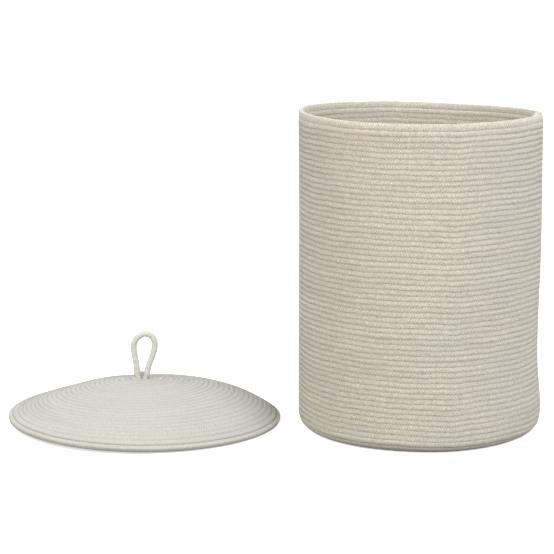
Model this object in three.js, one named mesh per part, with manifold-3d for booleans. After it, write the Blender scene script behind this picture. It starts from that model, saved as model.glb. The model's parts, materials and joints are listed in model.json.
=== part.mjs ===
// Laundry hamper of coiled, stitched cotton rope, with its domed rope lid standing beside it.
// Millimetres, +Z up. The origin is the centre of the basket's underside, on the floor.
// The basket is one rope wound as a flat spiral, turned up at the corner and wound on as a wall.
// The lid is a second rope wound as a dome, with a rope loop standing at its centre.
// Each coiled stretch is a plain shell here, of the true outer size, thickness and opening.

import * as THREE from 'three';
import { mergeVertices } from 'three/addons/utils/BufferGeometryUtils.js';
import Module from 'manifold-3d';

const wasm = await Module();
wasm.setup();

// Basket
const BASKET_RADIUS = 190.5;
const BASKET_HEIGHT = 500;
const COIL_THICKNESS = 8.2;
const CORNER_RADIUS = 20;
const RIM_HEIGHT = 12.5;
const RIM_PROUD = 1.0;

// Tucked end of the basket's rope, stitched flat inside the wall below the rim
const ROPE_END_LENGTH = 64;
const ROPE_END_RADIUS = 4.1;
const ROPE_END_DROP = 9;
const ROPE_END_AZIMUTH = -18 * (Math.PI / 180);
const ROPE_END_TACKS = 2;

// Lid
const LID_X = -444;
const LID_Y = 41;
const LID_RADIUS = 220;
const LID_HEIGHT = 66;
const LID_THICKNESS = 8;
const EDGE_COURSE_WIDTH = 8.5;
const EDGE_COURSE_HEIGHT = 8.3;
const DOME_EDGE_TOP = 9.5;
const DOME_POWER = 1.55;
const CENTRE_COIL_WIDTH = 26;

// Loop handle
const LOOP_ROPE_RADIUS = 4.5;
const LOOP_HEIGHT = 75;
const LOOP_WIDTH = 43;
const LOOP_LEG_GAP = 6;
const FOOT_GAP = 1.6;
const FOOT_TAIL_REACH = 34;
const FOOT_BEND_DROP = 2;
const LASHING_HEIGHT = 2.2;
const LASHING_THREAD = 1.2;

// Thread tacks
const TACK_RADIUS = 0.9;

// Clearances
const SEAM_GAP = 0.3;
const SWING_GAP = 0.4;
const KNUCKLE_GAP = 1;

// Faceting
const ROUND_SIDES = 72;
const ARC_STEPS = 4;
const DOME_STEPS = 9;
const ROPE_SIDES = 10;
const TACK_SIDES = 6;
const TACK_STEPS = 10;
const LOOP_STEPS = 36;
const FOOT_STEPS = 16;
const ROPE_END_STEPS = 14;

const hamper = new THREE.Group();
const basket = new THREE.Group();
const lid = new THREE.Group();
lid.position.set(LID_X, LID_Y, 0);
hamper.add(basket, lid);

const basketRope = new THREE.MeshStandardMaterial({ color: 0xcac4b3, roughness: 0.9, metalness: 0 });
const lidRope = new THREE.MeshStandardMaterial({ color: 0xd8d8ce, roughness: 0.9, metalness: 0 });
const loopRope = new THREE.MeshStandardMaterial({ color: 0xd4d4c6, roughness: 0.9, metalness: 0 });
const thread = new THREE.MeshStandardMaterial({ color: 0xdedbd0, roughness: 0.7, metalness: 0 });

function addPiece(group, name, geometry, material) {
  const mesh = new THREE.Mesh(geometry, material);
  mesh.name = name;
  group.add(mesh);
  return mesh;
}

// A solid of revolution about +Z. The outline is a list of [radius, height] with the solid on
// its left as it is walked, and it starts and ends on the axis, or is closed here.
function turned(outline) {
  const points = outline.map(([radius, height]) => new THREE.Vector2(radius, height));
  const onAxis = points[0].x === 0 && points.at(-1).x === 0;
  if (!onAxis) points.push(points[0].clone());
  const geometry = new THREE.LatheGeometry(points, ROUND_SIDES);
  geometry.rotateX(Math.PI / 2);
  return geometry;
}

// Points of an arc in the outline's own plane, both ends included.
function arc(centreRadius, centreHeight, radius, from, to) {
  return Array.from({ length: ARC_STEPS + 1 }, (_, i) => {
    const angle = from + ((to - from) * i) / ARC_STEPS;
    return [centreRadius + radius * Math.cos(angle), centreHeight + radius * Math.sin(angle)];
  });
}

// A closed round tube along a curve.
function tube(curve, radius, sides, steps) {
  const section = new THREE.Shape();
  for (let i = 0; i < sides; i += 1) {
    const angle = (i * 2 * Math.PI) / sides;
    const x = radius * Math.cos(angle);
    const y = radius * Math.sin(angle);
    if (i === 0) section.moveTo(x, y);
    else section.lineTo(x, y);
  }
  return new THREE.ExtrudeGeometry(section, { steps, extrudePath: curve, bevelEnabled: false });
}

function solid(geometry) {
  const bare = geometry.clone();
  bare.deleteAttribute('normal');
  bare.deleteAttribute('uv');
  const merged = mergeVertices(bare, 1e-4);
  const triVerts = new Uint32Array(merged.index.array);
  const vertProperties = new Float32Array(merged.attributes.position.array);
  return new wasm.Manifold(new wasm.Mesh({ numProp: 3, vertProperties, triVerts }));
}

function geometryOf(manifold) {
  const mesh = manifold.getMesh();
  const geometry = new THREE.BufferGeometry();
  geometry.setAttribute('position', new THREE.BufferAttribute(mesh.vertProperties, 3));
  geometry.setIndex(new THREE.BufferAttribute(mesh.triVerts, 1));
  geometry.computeVertexNormals();
  return geometry;
}

// Basket: flat base coil, the courses that turn up at the corner, the wall and the rim course.
const cornerFoot = BASKET_RADIUS - CORNER_RADIUS;
const innerRadius = BASKET_RADIUS - COIL_THICKNESS;
const rimBottom = BASKET_HEIGHT - RIM_HEIGHT;

addPiece(basket, 'base_coil', turned([
  [0, 0],
  [cornerFoot - SEAM_GAP, 0],
  [cornerFoot - SEAM_GAP, COIL_THICKNESS],
  [0, COIL_THICKNESS],
]), basketRope);

addPiece(basket, 'corner_courses', turned([
  ...arc(cornerFoot, CORNER_RADIUS, CORNER_RADIUS, -Math.PI / 2, 0),
  ...arc(cornerFoot, CORNER_RADIUS, CORNER_RADIUS - COIL_THICKNESS, 0, -Math.PI / 2),
]), basketRope);

addPiece(basket, 'wall_coil', turned([
  [innerRadius, CORNER_RADIUS + SEAM_GAP],
  [BASKET_RADIUS, CORNER_RADIUS + SEAM_GAP],
  [BASKET_RADIUS, rimBottom - SEAM_GAP],
  [innerRadius, rimBottom - SEAM_GAP],
]), basketRope);

const rimOuter = BASKET_RADIUS + RIM_PROUD;
const rimRound = (rimOuter - innerRadius) / 2;
addPiece(basket, 'rim_course', turned([
  [innerRadius, rimBottom],
  [rimOuter, rimBottom],
  ...arc(innerRadius + rimRound, BASKET_HEIGHT - rimRound, rimRound, 0, Math.PI),
]), basketRope);

// Tucked rope end, on an arc against the inside of the wall, just past the place where the rim ends.
class LevelArc extends THREE.Curve {
  constructor(radius, height, middle, length) {
    super();
    this.radius = radius;
    this.height = height;
    this.start = middle - length / radius / 2;
    this.sweep = length / radius;
  }

  getPoint(t, target = new THREE.Vector3()) {
    const angle = this.start + this.sweep * t;
    return target.set(this.radius * Math.cos(angle), this.radius * Math.sin(angle), this.height);
  }
}

// A staple of thread over a rope that lies against a surface: in the plane of across and out,
// with its two feet beside the rope.
function tackCurve(centre, across, out, ropeRadius) {
  const span = ropeRadius + TACK_RADIUS + SEAM_GAP;
  const at = (a, o) => centre.clone().addScaledVector(across, a).addScaledVector(out, o);
  return new THREE.CatmullRomCurve3([
    at(-span, -ropeRadius + TACK_RADIUS),
    at(-span, 0),
    at(-span * Math.SQRT1_2, span * Math.SQRT1_2),
    at(0, span),
    at(span * Math.SQRT1_2, span * Math.SQRT1_2),
    at(span, 0),
    at(span, -ropeRadius + TACK_RADIUS),
  ]);
}

const facetSag = innerRadius * (1 - Math.cos(Math.PI / ROUND_SIDES));
const endArcRadius = innerRadius - facetSag - SEAM_GAP - ROPE_END_RADIUS;
const endHeight = rimBottom - ROPE_END_DROP;
const endArc = new LevelArc(endArcRadius, endHeight, ROPE_END_AZIMUTH, ROPE_END_LENGTH);
addPiece(basket, 'rope_end', tube(endArc, ROPE_END_RADIUS, ROPE_SIDES, ROPE_END_STEPS), basketRope);

for (let i = 0; i < ROPE_END_TACKS; i += 1) {
  const centre = endArc.getPoint((i + 0.5) / ROPE_END_TACKS);
  const inward = new THREE.Vector3(-centre.x, -centre.y, 0).normalize();
  const up = new THREE.Vector3(0, 0, 1);
  const staple = tackCurve(centre, up, inward, ROPE_END_RADIUS);
  addPiece(basket, `rope_end_tack_${i + 1}`, tube(staple, TACK_RADIUS, TACK_SIDES, TACK_STEPS), thread);
}

// Lid: a dome whose top follows a flattened curve, an edge course turned down at its foot,
// and the first turns round the eye that the loop's two feet pass through.
const domeOuter = LID_RADIUS - EDGE_COURSE_WIDTH - SEAM_GAP;
const domeRise = LID_HEIGHT - DOME_EDGE_TOP;
const footRadius = LOOP_ROPE_RADIUS - SEAM_GAP;
const footOffset = footRadius + FOOT_GAP / 2;
const eyeRadius = footOffset + LOOP_ROPE_RADIUS + SEAM_GAP;
const centreCoilOuter = eyeRadius + CENTRE_COIL_WIDTH;

function domeTop(radius) {
  return DOME_EDGE_TOP + domeRise * (1 - (radius / domeOuter) ** DOME_POWER);
}

function domeSlope(radius) {
  return Math.atan((domeRise * DOME_POWER * (radius / domeOuter) ** (DOME_POWER - 1)) / domeOuter);
}

// A shell of the lid's thickness under the dome's top, between two radii.
function domeShell(from, to, steps) {
  const radii = Array.from({ length: steps + 1 }, (_, i) => from + ((to - from) * i) / steps);
  const under = radii.map((radius) => {
    const slope = domeSlope(radius);
    const inner = Math.max(from, radius - LID_THICKNESS * Math.sin(slope));
    return [inner, domeTop(radius) - LID_THICKNESS * Math.cos(slope)];
  });
  const top = radii.map((radius) => [radius, domeTop(radius)]);
  return turned([...under, ...top.reverse()]);
}

addPiece(lid, 'lid_centre_coil', domeShell(eyeRadius, centreCoilOuter, 2), lidRope);
addPiece(lid, 'lid_dome_coil', domeShell(centreCoilOuter + SEAM_GAP, domeOuter, DOME_STEPS), lidRope);

const edgeInner = LID_RADIUS - EDGE_COURSE_WIDTH;
const edgeEase = EDGE_COURSE_HEIGHT / 4;
addPiece(lid, 'lid_edge_course', turned([
  [edgeInner, 0],
  [LID_RADIUS - edgeEase, 0],
  [LID_RADIUS, edgeEase],
  [LID_RADIUS, EDGE_COURSE_HEIGHT - edgeEase],
  [LID_RADIUS - edgeEase, EDGE_COURSE_HEIGHT],
  [edgeInner, EDGE_COURSE_HEIGHT],
]), lidRope);

// Loop handle: a leaning teardrop of rope in the XZ plane. Its legs end in round knuckles on the
// hinge line, which stand in for the bend of the rope above the lashing.
const lashingTop = LID_HEIGHT + SEAM_GAP + LASHING_HEIGHT;
const hingeHeight = lashingTop + KNUCKLE_GAP + LOOP_ROPE_RADIUS;
const loopRise = LID_HEIGHT + LOOP_HEIGHT - hingeHeight - LOOP_ROPE_RADIUS;
const loopReach = LOOP_WIDTH / 2 - LOOP_ROPE_RADIUS;
const legOffset = LOOP_ROPE_RADIUS + LOOP_LEG_GAP / 2;

// Shares of the loop's half width and rise, from the left leg over the crown to the right leg.
const LOOP_SHAPE = [
  [-0.62, 0.3],
  [-0.78, 0.62],
  [-0.5, 0.88],
  [0.35, 1],
  [1.0, 0.9],
  [1.2, 0.68],
  [0.98, 0.42],
  [0.64, 0.18],
];
const loopCurve = new THREE.CatmullRomCurve3([
  new THREE.Vector3(-legOffset, 0, hingeHeight),
  ...LOOP_SHAPE.map(([x, z]) => new THREE.Vector3(x * loopReach, 0, hingeHeight + z * loopRise)),
  new THREE.Vector3(legOffset, 0, hingeHeight),
]);

const knuckle = (x) => {
  const ball = new THREE.SphereGeometry(LOOP_ROPE_RADIUS, ROPE_SIDES, ROPE_SIDES / 2);
  ball.rotateZ(Math.PI / 2);
  return solid(ball.translate(x, 0, hingeHeight));
};
const loopSolid = solid(tube(loopCurve, LOOP_ROPE_RADIUS, ROPE_SIDES, LOOP_STEPS))
  .add(knuckle(-legOffset))
  .add(knuckle(legOffset));
addPiece(lid, 'loop_handle', geometryOf(loopSolid), loopRope);

// The two feet go down through the eye and lie outwards under the dome.
const footTop = hingeHeight - LOOP_ROPE_RADIUS - SWING_GAP;
const eyeBottom = LID_HEIGHT - LID_THICKNESS;
const tailDrop = LOOP_ROPE_RADIUS + 2 * SEAM_GAP;
const tailCover = LID_THICKNESS / Math.cos(domeSlope(FOOT_TAIL_REACH));
const tailEndHeight = domeTop(FOOT_TAIL_REACH) - tailCover - tailDrop;

function footCurve(side) {
  const at = (x, z) => new THREE.Vector3(side * x, 0, z);
  return new THREE.CatmullRomCurve3([
    at(footOffset, footTop),
    at(footOffset, LID_HEIGHT),
    at(footOffset, eyeBottom - FOOT_BEND_DROP),
    at(footOffset + LOOP_ROPE_RADIUS, eyeBottom - FOOT_BEND_DROP - tailDrop),
    at((footOffset + FOOT_TAIL_REACH) / 2 + LOOP_ROPE_RADIUS, tailEndHeight),
    at(FOOT_TAIL_REACH, tailEndHeight),
  ]);
}

const FEET = [['left', -1], ['right', 1]];
for (const [word, side] of FEET) {
  const foot = tube(footCurve(side), footRadius, ROPE_SIDES, FOOT_STEPS);
  addPiece(lid, `loop_foot_${word}`, foot, loopRope);
}

// Lashing of thread round both feet, just above the lid.
function stadium(path, halfLength, radius) {
  path.absarc(halfLength, 0, radius, -Math.PI / 2, Math.PI / 2, false);
  path.absarc(-halfLength, 0, radius, Math.PI / 2, (3 * Math.PI) / 2, false);
  path.closePath();
  return path;
}
const lashingInner = LOOP_ROPE_RADIUS + SEAM_GAP;
const lashingShape = stadium(new THREE.Shape(), footOffset, lashingInner + LASHING_THREAD);
lashingShape.holes.push(stadium(new THREE.Path(), footOffset, lashingInner));
const lashing = new THREE.ExtrudeGeometry(lashingShape, {
  depth: LASHING_HEIGHT,
  bevelEnabled: false,
  curveSegments: ROPE_SIDES,
});
lashing.translate(0, 0, LID_HEIGHT + SEAM_GAP);
addPiece(lid, 'loop_lashing', lashing, thread);

// One tack over each tail under the lid.
for (const [word, side] of FEET) {
  const centre = new THREE.Vector3(side * FOOT_TAIL_REACH * 0.75, 0, tailEndHeight);
  const staple = tackCurve(centre, new THREE.Vector3(0, 1, 0), new THREE.Vector3(0, 0, -1), LOOP_ROPE_RADIUS);
  addPiece(lid, `foot_tack_${word}`, tube(staple, TACK_RADIUS, TACK_SIDES, TACK_STEPS), thread);
}

export default hamper;
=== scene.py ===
import json
import math

import bmesh
import bpy
import numpy as np
from bpy.props import FloatProperty, FloatVectorProperty, IntProperty, PointerProperty
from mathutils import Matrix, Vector


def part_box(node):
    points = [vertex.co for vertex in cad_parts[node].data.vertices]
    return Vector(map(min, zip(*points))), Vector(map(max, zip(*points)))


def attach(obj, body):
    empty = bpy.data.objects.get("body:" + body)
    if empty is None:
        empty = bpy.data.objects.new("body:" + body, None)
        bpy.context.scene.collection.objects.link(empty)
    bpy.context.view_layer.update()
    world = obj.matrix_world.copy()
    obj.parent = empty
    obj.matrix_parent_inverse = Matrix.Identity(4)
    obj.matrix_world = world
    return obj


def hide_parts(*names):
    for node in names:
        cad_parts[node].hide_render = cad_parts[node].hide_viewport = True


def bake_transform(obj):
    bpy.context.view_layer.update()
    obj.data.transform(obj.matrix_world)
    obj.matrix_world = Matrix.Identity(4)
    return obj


bl_info = {
    "name": "Coiled Rope Hamper",
    "version": (1, 0, 0),
    "blender": (4, 5, 0),
    "location": "3D View > Sidebar > Hamper",
    "description": "Coils, stitches and finishes a cotton rope laundry hamper and its domed lid",
    "category": "Add Mesh",
}

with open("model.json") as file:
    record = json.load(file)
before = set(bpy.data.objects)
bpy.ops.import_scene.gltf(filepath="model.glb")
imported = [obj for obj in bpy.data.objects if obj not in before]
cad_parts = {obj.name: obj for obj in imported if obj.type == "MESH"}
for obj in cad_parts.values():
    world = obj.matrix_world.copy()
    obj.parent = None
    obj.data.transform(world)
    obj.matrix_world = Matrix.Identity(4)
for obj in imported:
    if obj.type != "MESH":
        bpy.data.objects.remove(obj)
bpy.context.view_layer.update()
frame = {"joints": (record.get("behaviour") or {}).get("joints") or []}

ROPE_UV = "rope"
TURN = 2 * math.pi
MM = 0.001
STEPS_A_TURN = 720
RIM_STEPS = 1400

# Places and sizes that the packed model gives.
BASE_LOW, BASE_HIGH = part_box("base_coil")
TUCK_LOW, TUCK_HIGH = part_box("rope_end")
EDGE_LOW, EDGE_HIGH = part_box("lid_edge_course")
LOOP_LOW, LOOP_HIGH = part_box("loop_handle")
FOOT_LOW, FOOT_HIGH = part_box("loop_foot_right")

ROPE = BASE_HIGH.z - BASE_LOW.z
WALL_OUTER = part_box("wall_coil")[1].x
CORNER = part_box("corner_courses")[1].z
RIM_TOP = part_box("rim_course")[1].z
LID_X = (EDGE_LOW.x + EDGE_HIGH.x) / 2
LID_Y = (EDGE_LOW.y + EDGE_HIGH.y) / 2
LID_RADIUS = (EDGE_HIGH.x - EDGE_LOW.x) / 2
LID_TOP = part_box("lid_centre_coil")[1].z
LOOP_ROPE = LOOP_HIGH.y - LOOP_LOW.y
HINGE = next(j["pos_m"] for j in frame["joints"] if j["name"] == "loop_flop")


def millimetres(name, description, default):
    """A setting in millimetres, kept in metres."""
    return FloatProperty(name=name, description=description, default=default * MM,
                         subtype="DISTANCE", unit="LENGTH", precision=5)


def degrees(name, description, default):
    """A setting in degrees, kept in radians."""
    return FloatProperty(name=name, description=description, default=math.radians(default),
                         subtype="ANGLE", unit="ROTATION")


def amount(name, description, default):
    """A setting without a unit."""
    return FloatProperty(name=name, description=description, default=default)


def position(name, description, default):
    """A setting that is a place in metres."""
    return FloatVectorProperty(name=name, description=description, default=default, size=3,
                               subtype="TRANSLATION", unit="LENGTH")


def linear_colour(name, description, default):
    """A setting that is a linear colour."""
    return FloatVectorProperty(name=name, description=description, default=default, size=3,
                               subtype="COLOR", min=0, max=1)


class RopeSettings(bpy.types.PropertyGroup):
    """The braided cord that everything is coiled from"""

    course_pitch: millimetres("Course pitch", "Distance from one course to the next", 8.27)
    crowding: amount("Crowding", "How far each course presses into its neighbours, as a factor", 1.11)
    plait_step: millimetres("Plait step", "Length along the cord of one bump of the braid", 2.1)
    plait_relief: millimetres("Plait relief", "How far a strand stands out of the braid", 0.24)
    sides: IntProperty(
        name="Sides", description="Bumps and hollows of the braid round the cord, an even number",
        default=12, min=8)
    unevenness: amount("Unevenness", "Share by which the cord's thickness wanders", 0.05)
    squareness: amount("Squareness", "2 leaves the pressed cord round, 4 makes it nearly square", 4.6)


class BasketSettings(bpy.types.PropertyGroup):
    """Shape of the coiled basket"""

    rim_height: millimetres("Rim height", "Height of the flattened course at the rim", 10.5)
    rim_press: millimetres("Rim press", "How far the rim course is pressed down over the one below", 0.5)
    rim_start: degrees("Rim end angle", "Direction in which the last course ends, from +X", -16)
    lift_share: amount("Lift share", "Share of a level turn in which the rope climbs a course", 0.045)
    level_turns: amount("Levelling turns", "Turns below the rim that change from spiral to level", 14)
    front_crease: degrees("Front crease", "Direction of the fold line at the front", -77.5)
    back_crease: degrees("Back crease", "Direction of the fold line at the back", 100)
    crease_rise: millimetres("Crease rise", "How far a fold line stands out of the round wall", 4)
    crease_width: degrees("Crease width", "Half the angle over which a fold line fades", 15)
    sag_width: degrees("Sag width", "Angle over which the courses hang at the front fold line", 9)
    right_side: degrees("Right side", "Direction of the middle of the right side, from +X", -12)
    side_hollow: millimetres("Side hollow", "How far the right side pulls in below its middle", 1.4)
    hollow_height: millimetres("Hollow height", "Height of the middle of the side hollow", 165)
    foot_bulge: millimetres("Foot bulge", "How far the wall swells at the bottom right", 5.2)
    foot_height: millimetres("Foot height", "Height of the middle of the foot bulge", 36)
    wall_wander: millimetres("Wall wander", "How far the wall wanders in and out", 0.5)
    crease_sag: millimetres("Crease sag", "How far the courses hang down at the front fold line", 1.5)
    rim_rise: millimetres("Rim rise", "How far the soft rim stands above its firm height", 1.8)
    rim_lean: millimetres("Rim lean", "How far the rim stands higher on one side", 2.35)
    lean_way: degrees("Lean direction", "Direction in which the rim stands highest", -146)
    rim_saddle: millimetres("Rim saddle", "How far the rim rises and falls twice round the basket", 2.1)
    saddle_way: degrees("Saddle direction", "Direction of one of the saddle's two high sides", -29)
    rim_hump: millimetres("Rim hump", "How far the courses rise where the rim course starts", 0.9)
    slip_drop: millimetres("Slip drop", "How far the rim course sinks as it slips inside", 3)
    row_wander: millimetres("Row wander", "How far the courses wander up and down", 0.5)


class LidSettings(bpy.types.PropertyGroup):
    """Shape of the coiled lid"""

    lift_share: amount("Lift share", "Share of a level turn in which the rope climbs a course", 0.08)
    edge_top: millimetres("Dome edge", "Height of the dome's top face at its last course", 11.5)
    dome_power: amount("Dome power", "1 makes the dome a cone, 2 a round bowl", 2.39)
    power_swing: amount("Power swing", "How much rounder the dome is at the front than behind", 0.765)
    swing_way: degrees("Swing direction", "Direction in which the dome is roundest", -118)
    crown_sink: millimetres("Crown sink", "How far the soft crown sags below its firm height", 1.5)
    outline_inset: millimetres("Outline inset", "How far the outline lies inside its full radius", 5.7)
    apex_shift: millimetres("Apex shift", "How far the outline's centre lies from the loop", 19.5)
    shift_way: degrees("Shift direction", "Direction of the outline's centre from the loop", -72)
    ovalness: millimetres("Ovalness", "How far the outline stands out of a circle at its long ends", 2.8)
    oval_way: degrees("Oval direction", "Direction of the outline's long way", 4)
    fullness: millimetres("Fullness", "How much the right half swells and the left half falls", 7.8)
    eye_swell: millimetres("Eye swell", "How far the first course climbs the loop's left leg", 3.5)
    tilt_rise: millimetres("Tilt", "How far the left edge stands off the floor", 8.4)
    dome_wander: millimetres("Dome wander", "How far the dome waves up and down", 0.8)
    edge_share: amount("Edge share", "Thickness of the edge course, as a share of the dome's", 0.9)
    edge_height: millimetres("Edge height", "Height of the middle of the edge course, which leans", 4.9)
    edge_gap: millimetres("Edge gap", "How far the last course hangs away from the dome at the left", 1.6)
    gap_way: degrees("Gap direction", "Direction in which the last course hangs away most", -140)
    squareness: amount("Squareness", "How flat the stitching presses the lid's courses", 8)
    crowding: amount("Crowding", "How far each course presses into its neighbours, as a factor", 1.5)
    sides: IntProperty(
        name="Sides", description="Bumps and hollows of the lid's braid, an even number",
        default=18, min=8)
    edge_crowding: amount("Edge crowding", "How far the edge course presses inwards, as a factor", 1.22)
    edge_squareness: amount("Edge squareness", "How flat the edge course is pressed", 4.4)
    relief_share: amount("Relief share", "The lid's plait relief, as a share of the basket's", 0.55)
    edge_end: degrees("Edge end angle", "Direction in which the lid's rope ends, from +X", 95)


class LoopSettings(bpy.types.PropertyGroup):
    """The loop handle and its lashing"""

    plait_step: millimetres("Plait step", "Length along the loop of one bump of the braid", 1.6)
    plait_relief: millimetres("Plait relief", "How far a strand stands out of the loop's braid", 0.2)
    sides: IntProperty(
        name="Sides", description="Bumps and hollows of the loop's braid, an even number",
        default=16, min=8)
    fullness: amount("Fullness", "Thickness of the loop's rope, as a share of its firm core", 1.12)
    crown_lift: millimetres("Crown lift", "How far the soft crown stands above its firm core", 2)
    lash_turns: amount("Lashing turns", "Turns of thread round both legs", 9)
    lash_height: millimetres("Lashing height", "Height of the lashing above the lid", 11)


class ThreadSettings(bpy.types.PropertyGroup):
    """The zigzag stitching between the courses"""

    thickness: millimetres("Thickness", "Diameter of the sewing thread", 0.75)
    stitch_length: millimetres("Stitch length", "Length along the seam of one crossing", 3.1)
    lid_thickness: millimetres("Lid thread thickness", "Diameter of the lid's finer sewing thread", 0.5)
    reach: millimetres("Reach", "How far a stitch reaches to each side of the seam", 2.3)


class FinishSettings(bpy.types.PropertyGroup):
    """Colours of the cords and threads"""

    basket_colour: linear_colour("Basket rope", "Natural cotton of the basket", (0.61, 0.569, 0.489))
    lid_colour: linear_colour("Lid rope", "Paler cotton of the lid", (0.455, 0.455, 0.42))
    loop_colour: linear_colour("Loop rope", "Cotton of the loop handle", (0.605, 0.605, 0.55))
    edge_colour: linear_colour("Lid edge", "Cotton of the lid's last course", (0.475, 0.468, 0.422))
    thread_colour: linear_colour("Basket thread", "Sewing thread of the basket", (0.635, 0.594, 0.509))
    lid_thread_colour: linear_colour(
        "Lid thread", "Sewing thread of the lid and the loop", (0.465, 0.465, 0.43))


class StageSettings(bpy.types.PropertyGroup):
    """Camera, floor and lights"""

    camera_place: position("Camera place", "Where the camera stands", (-0.225, -3.126, 0.818))
    camera_drop: degrees("Camera drop", "How far the camera looks down", 10.497)
    lens: amount("Lens", "Focal length in millimetres on a 36 mm sensor", 130.2)
    sky: amount("Sky", "Strength of the white surroundings", 0.95)
    light_size: amount("Light size", "Side of each square light, in metres", 2.4)
    key: amount("Key light", "Power of the soft light at the right front, in watts", 124)
    key_place: position("Key light place", "Where the key light hangs", (2.0, -2.5, 2.8))
    left_share: amount("Left light", "Power of the left light, as a share of the key light's", 0.52)
    left_place: position("Left light place", "Where the left light hangs", (-2.6, -2.0, 1.8))
    floor_tone: amount("Floor tone", "How white the floor looks", 0.97)
    floor_cast: amount("Floor cast", "How much light the floor throws back on the hamper", 0.27)
    floor_glow: amount("Floor glow", "How far the floor's look is lifted in the shadows", 0.6)


def smooth(value):
    """Rises from 0 to 1 without a corner as value goes from 0 to 1."""
    held = np.clip(value, 0, 1)
    return held * held * (3 - 2 * held)


def unit(vectors):
    """Each row made one long."""
    return vectors / np.maximum(np.linalg.norm(vectors, axis=1, keepdims=True), 1e-12)


def angle_from(angle, middle):
    """Angle measured from middle, between -pi and pi."""
    return (angle - middle + math.pi) % TURN - math.pi


def hill(value, middle, width):
    """1 where value is at the middle, fading to 0 over a few widths."""
    return np.exp(-((value - middle) / width) ** 2)


def turns_between(start, end):
    """Numbers of turns in small steps from start to end."""
    return np.linspace(start, end, max(3, round((end - start) * STEPS_A_TURN)))


def spaced(points, *others, step):
    """Points and their companion arrays taken again at equal steps along the line."""
    walked = np.concatenate([[0], np.cumsum(np.linalg.norm(np.diff(points, axis=0), axis=1))])
    count = max(2, round(walked[-1] / step) + 1)
    places = np.linspace(0, walked[-1], count)
    taken = []
    for values in (points, *others):
        columns = np.atleast_2d(values.T)
        again = np.stack([np.interp(places, walked, column) for column in columns], axis=1)
        taken.append(again if values.ndim > 1 else again[:, 0])
    return taken


def curve_through(points, step):
    """A smooth line through given points, in equal steps."""
    points = np.array(points, float)
    padded = np.vstack([2 * points[0] - points[1], points, 2 * points[-1] - points[-2]])
    share = np.linspace(0, 1, 40, endpoint=False)[:, None]
    line = []
    for a, b, c, d in zip(padded, padded[1:], padded[2:], padded[3:]):
        line.append(0.5 * (2 * b + (c - a) * share + (2 * a - 5 * b + 4 * c - d) * share ** 2
                           + (3 * b - a - 3 * c + d) * share ** 3))
    line.append(points[-1:])
    return spaced(np.vstack(line), step=step)[0]


def ringed(radius, azimuth, height):
    """Points at given distances from the upright axis, in given directions and at given heights."""
    return np.stack([radius * np.cos(azimuth), radius * np.sin(azimuth), height], axis=1)


def added(name, data):
    """A new object in the scene, with the given mesh, light or camera."""
    thing = bpy.data.objects.new(name, data)
    bpy.context.scene.collection.objects.link(thing)
    return thing


def finish_piece(name, mesh, look):
    """Adds a finished mesh as a piece and gives it its finish."""
    piece = added(name, mesh)
    mesh.materials.append(finish(look))
    return piece


def rolled_up(name, spots):
    """A closed tube: a grid rolled up on the given spots, sides by rings, with its seam merged and
    its ends filled. The UV map counts the braid's bumps along the cord and round it."""
    sides, rings = spots.shape[0] - 1, spots.shape[1]
    sheet = bmesh.new()
    sheet.loops.layers.uv.new(ROPE_UV)
    bmesh.ops.create_grid(sheet, x_segments=rings - 1, y_segments=sides, size=0.5, calc_uvs=True)
    mesh = bpy.data.meshes.new(name)
    sheet.to_mesh(mesh)
    mesh.vertices.foreach_set("co", spots.astype(np.float32).ravel())
    layer = mesh.uv_layers[ROPE_UV]
    flat = np.empty(len(mesh.loops) * 2, np.float32)
    layer.uv.foreach_get("vector", flat)
    flat[0::2] *= (rings - 1) / 2
    flat[1::2] *= sides / 2
    layer.uv.foreach_set("vector", flat)
    sheet.clear()
    sheet.from_mesh(mesh)
    bmesh.ops.remove_doubles(sheet, verts=sheet.verts[:], dist=1e-7)
    bmesh.ops.holes_fill(sheet, edges=[e for e in sheet.edges if e.is_boundary], sides=sides + 1)
    bmesh.ops.recalc_face_normals(sheet, faces=sheet.faces[:])
    for face in sheet.faces:
        face.smooth = True
    sheet.to_mesh(mesh)
    sheet.free()
    return mesh


def pressed(value, squareness):
    """A cosine or sine filled out towards a square section."""
    return np.sign(value) * np.abs(value) ** (2 / squareness)


def rolled_tube(name, centre, out, across_half, out_half, sides, relief=0.0, squareness=2.0):
    """A closed tube along the centre points. The braid's bumps rise on every second corner."""
    across = unit(np.cross(np.gradient(centre, axis=0), out))
    upright = unit(np.cross(across, np.gradient(centre, axis=0)))
    corner = (np.arange(sides + 1) % sides)[:, None]
    angle = corner * (TURN / sides)
    plait = relief * np.where((corner + np.arange(len(centre))[None]) % 2 == 0, 1.0, -1.0)
    wide = across_half[None] * pressed(np.cos(angle), squareness) + plait * np.cos(angle)
    tall = out_half[None] * pressed(np.sin(angle), squareness) + plait * np.sin(angle)
    spots = centre[None] + across[None] * wide[..., None] + upright[None] * tall[..., None]
    return rolled_up(name, spots)


# ---------------------------------------------------------------- materials

def link(tree, source, socket):
    """Joins an output to an input."""
    tree.links.new(source, socket)


def maths(tree, operation, first, second=None):
    """A Math node, fed by sockets or numbers, and its output."""
    node = tree.nodes.new("ShaderNodeMath")
    node.operation = operation
    for socket, value in zip(node.inputs, (first, second)):
        if value is None:
            continue
        if isinstance(value, (int, float)):
            socket.default_value = value
        else:
            link(tree, value, socket)
    return node.outputs[0]


def noise_of(tree, vector, scale, detail, roughness):
    """A noise pattern over the given places."""
    node = tree.nodes.new("ShaderNodeTexNoise")
    node.inputs["Scale"].default_value = scale
    node.inputs["Detail"].default_value = detail
    node.inputs["Roughness"].default_value = roughness
    link(tree, vector, node.inputs["Vector"])
    return node.outputs["Fac"]


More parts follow.
